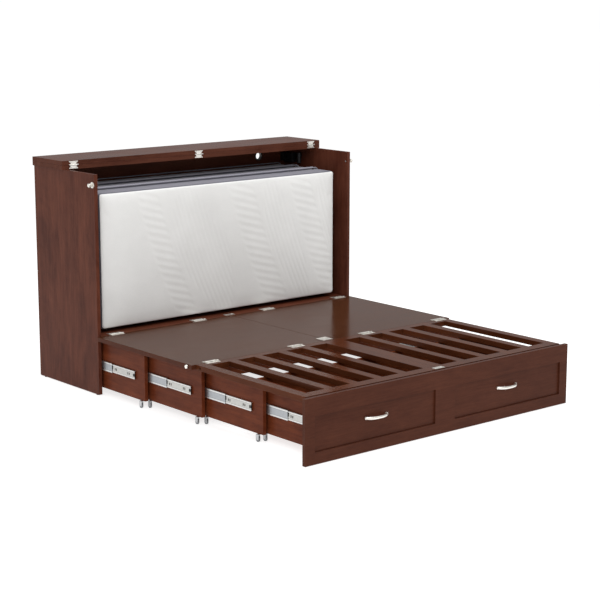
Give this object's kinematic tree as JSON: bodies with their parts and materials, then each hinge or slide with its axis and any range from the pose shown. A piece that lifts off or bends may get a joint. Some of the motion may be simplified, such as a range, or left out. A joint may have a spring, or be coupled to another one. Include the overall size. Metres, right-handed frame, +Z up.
{
  "type": "cabinet bed",
  "caption": "Walnut-stained cabinet bed laid open: chest with folding lid, stored folding mattress, hinged solid and slatted deck, telescoping rolling base with a drawer front.",
  "frame": {"origin": "centre of the open bed's footprint, at floor level", "axes": "+X along the width towards the outlet box side, +Y towards the wall, +Z up"},
  "size_m": [1.682, 2.1364, 1.127],
  "materials": {
    "walnut_stain": "satin stained veneer",
    "walnut_deck": "satin stained veneer, sheen",
    "zinc_steel": "bright zinc plate",
    "satin_nickel": "satin nickel plate",
    "black_plastic": "matt",
    "brown_plastic": "matt",
    "grey_wheel": "semi-gloss",
    "white_knit": "quilted knit, grey-blue border"
  },
  "bodies": {
    "cabinet": {"side_panel_left": "walnut_stain", "side_panel_right": "walnut_stain", "back_panels": "walnut_stain", "cable_grommet": "brown_plastic", "cabinet_platform": "walnut_stain", "cabinet_cleats": "walnut_stain", "glide_feet": "brown_plastic", "charging_station": "black_plastic", "lid_rear_leaf": "walnut_stain", "lid_hinge_plates_rear": "satin_nickel", "latch_bushes": "satin_nickel", "platform_hinge_leaves": "satin_nickel", "cabinet_slides": "zinc_steel"},
    "lid": {"lid_front_leaf": "walnut_stain", "lid_hinge_plates_front": "satin_nickel"},
    "latch_left": {"latch_bolt_left": "satin_nickel"},
    "latch_right": {"latch_bolt_right": "satin_nickel"},
    "deck_solid": {"deck_panel_left": "walnut_deck", "deck_panel_right": "walnut_deck", "deck_edge_studs": "satin_nickel", "deck_hinge_leaves": "satin_nickel"},
    "deck_slatted": {"slatted_frame": "walnut_deck", "deck_slats": "walnut_deck", "deck_centre_board": "walnut_deck", "slatted_hinge_leaves": "satin_nickel"},
    "mattress_stack": {"mattress_middle": "white_knit", "mattress_rear": "white_knit"},
    "mattress_flap": {"mattress_front": "white_knit"},
    "section_1": {"section_1_sides": "walnut_stain", "section_1_rail": "walnut_stain", "section_1_slides": "zinc_steel", "caster_forks_1": "zinc_steel"},
    "section_2": {"section_2_sides": "walnut_stain", "section_2_rail": "walnut_stain", "section_2_slides": "zinc_steel", "caster_forks_2": "zinc_steel"},
    "section_3": {"section_3_sides": "walnut_stain", "section_3_rail": "walnut_stain", "section_3_slides": "zinc_steel", "caster_forks_3": "zinc_steel"},
    "section_4": {"section_4_sides": "walnut_stain", "drawer_back": "walnut_stain", "drawer_bottom": "walnut_stain", "section_4_slides": "zinc_steel", "caster_forks_4": "zinc_steel", "face_frame": "walnut_stain", "face_panels": "walnut_stain", "drawer_pulls": "satin_nickel"},
    "middle_slides_1": {"middle_slides_1": "zinc_steel"},
    "middle_slides_2": {"middle_slides_2": "zinc_steel"},
    "middle_slides_3": {"middle_slides_3": "zinc_steel"},
    "middle_slides_4": {"middle_slides_4": "zinc_steel"},
    "wheels_1a": {"caster_wheels_1a": "grey_wheel"},
    "wheels_2a": {"caster_wheels_2a": "grey_wheel"},
    "wheels_2b": {"caster_wheels_2b": "grey_wheel"},
    "wheels_3a": {"caster_wheels_3a": "grey_wheel"},
    "wheels_3b": {"caster_wheels_3b": "grey_wheel"},
    "wheels_4a": {"caster_wheels_4a": "grey_wheel"},
    "wheels_4b": {"caster_wheels_4b": "grey_wheel"}
  },
  "joints": [
    {"name": "lid_fold", "type": "hinge", "parent": "cabinet", "child": "lid", "pos_m": [0, 0.78345, 1.1056], "axis": [1, 0, 0], "range_deg": [0, 180]},
    {"name": "deck_fold", "type": "hinge", "parent": "cabinet", "child": "deck_solid", "pos_m": [0, 0.51925, 0.296], "axis": [-1, 0, 0], "range_deg": [0, 90]},
    {"name": "slatted_fold", "type": "hinge", "parent": "deck_solid", "child": "deck_slatted", "pos_m": [0, -0.24875, 0.296], "axis": [-1, 0, 0], "range_deg": [0, 180]},
    {"name": "latch_left_push", "type": "slide", "parent": "cabinet", "child": "latch_left", "axis": [1, 0, 0], "range_m": [0, 0.012]},
    {"name": "latch_right_push", "type": "slide", "parent": "cabinet", "child": "latch_right", "axis": [-1, 0, 0], "range_m": [0, 0.012]},
    {"name": "mattress_pull", "type": "slide", "parent": "cabinet", "child": "mattress_stack", "axis": [0, 1, 0], "range_m": [-0.45, 0]},
    {"name": "mattress_flap_fold", "type": "hinge", "parent": "mattress_stack", "child": "mattress_flap", "pos_m": [0, 0.72925, 0.991], "axis": [1, 0, 0], "range_deg": [-90, 0]},
    {"name": "section_1_slide", "type": "slide", "parent": "cabinet", "child": "section_1", "axis": [0, 1, 0], "range_m": [0, 0.346]},
    {"name": "middle_1_slide", "type": "slide", "parent": "cabinet", "child": "middle_slides_1", "axis": [0, 1, 0], "range_m": [0, 0.173]},
    {"name": "section_2_slide", "type": "slide", "parent": "section_1", "child": "section_2", "axis": [0, 1, 0], "range_m": [0, 0.407]},
    {"name": "middle_2_slide", "type": "slide", "parent": "section_1", "child": "middle_slides_2", "axis": [0, 1, 0], "range_m": [0, 0.2035]},
    {"name": "section_3_slide", "type": "slide", "parent": "section_2", "child": "section_3", "axis": [0, 1, 0], "range_m": [0, 0.406]},
    {"name": "middle_3_slide", "type": "slide", "parent": "section_2", "child": "middle_slides_3", "axis": [0, 1, 0], "range_m": [0, 0.203]},
    {"name": "section_4_slide", "type": "slide", "parent": "section_3", "child": "section_4", "axis": [0, 1, 0], "range_m": [0, 0.383]},
    {"name": "middle_4_slide", "type": "slide", "parent": "section_3", "child": "middle_slides_4", "axis": [0, 1, 0], "range_m": [0, 0.1915]},
    {"name": "wheels_1a_spin", "type": "hinge", "parent": "section_1", "child": "wheels_1a", "pos_m": [0, 0.19725, 0.012], "axis": [1, 0, 0], "continuous": true},
    {"name": "wheels_2a_spin", "type": "hinge", "parent": "section_2", "child": "wheels_2a", "pos_m": [0, -0.20475, 0.012], "axis": [1, 0, 0], "continuous": true},
    {"name": "wheels_2b_spin", "type": "hinge", "parent": "section_2", "child": "wheels_2b", "pos_m": [0, 0.17125, 0.012], "axis": [1, 0, 0], "continuous": true},
    {"name": "wheels_3a_spin", "type": "hinge", "parent": "section_3", "child": "wheels_3a", "pos_m": [0, -0.61075, 0.012], "axis": [1, 0, 0], "continuous": true},
    {"name": "wheels_3b_spin", "type": "hinge", "parent": "section_3", "child": "wheels_3b", "pos_m": [0, -0.23175, 0.012], "axis": [1, 0, 0], "continuous": true},
    {"name": "wheels_4a_spin", "type": "hinge", "parent": "section_4", "child": "wheels_4a", "pos_m": [0, -0.98075, 0.012], "axis": [1, 0, 0], "continuous": true},
    {"name": "wheels_4b_spin", "type": "hinge", "parent": "section_4", "child": "wheels_4b", "pos_m": [0, -0.62175, 0.012], "axis": [1, 0, 0], "continuous": true}
  ],
  "couplings": [
    {"joint": "section_1_slide", "follows": "slatted_fold", "m_per_rad": 0.11013},
    {"joint": "middle_1_slide", "follows": "slatted_fold", "m_per_rad": 0.055067},
    {"joint": "section_2_slide", "follows": "deck_fold", "m_per_rad": 0.2591},
    {"joint": "middle_2_slide", "follows": "deck_fold", "m_per_rad": 0.12955},
    {"joint": "section_3_slide", "follows": "deck_fold", "m_per_rad": 0.25847},
    {"joint": "middle_3_slide", "follows": "deck_fold", "m_per_rad": 0.12923},
    {"joint": "section_4_slide", "follows": "slatted_fold", "m_per_rad": 0.12191},
    {"joint": "middle_4_slide", "follows": "slatted_fold", "m_per_rad": 0.060956}
  ]
}
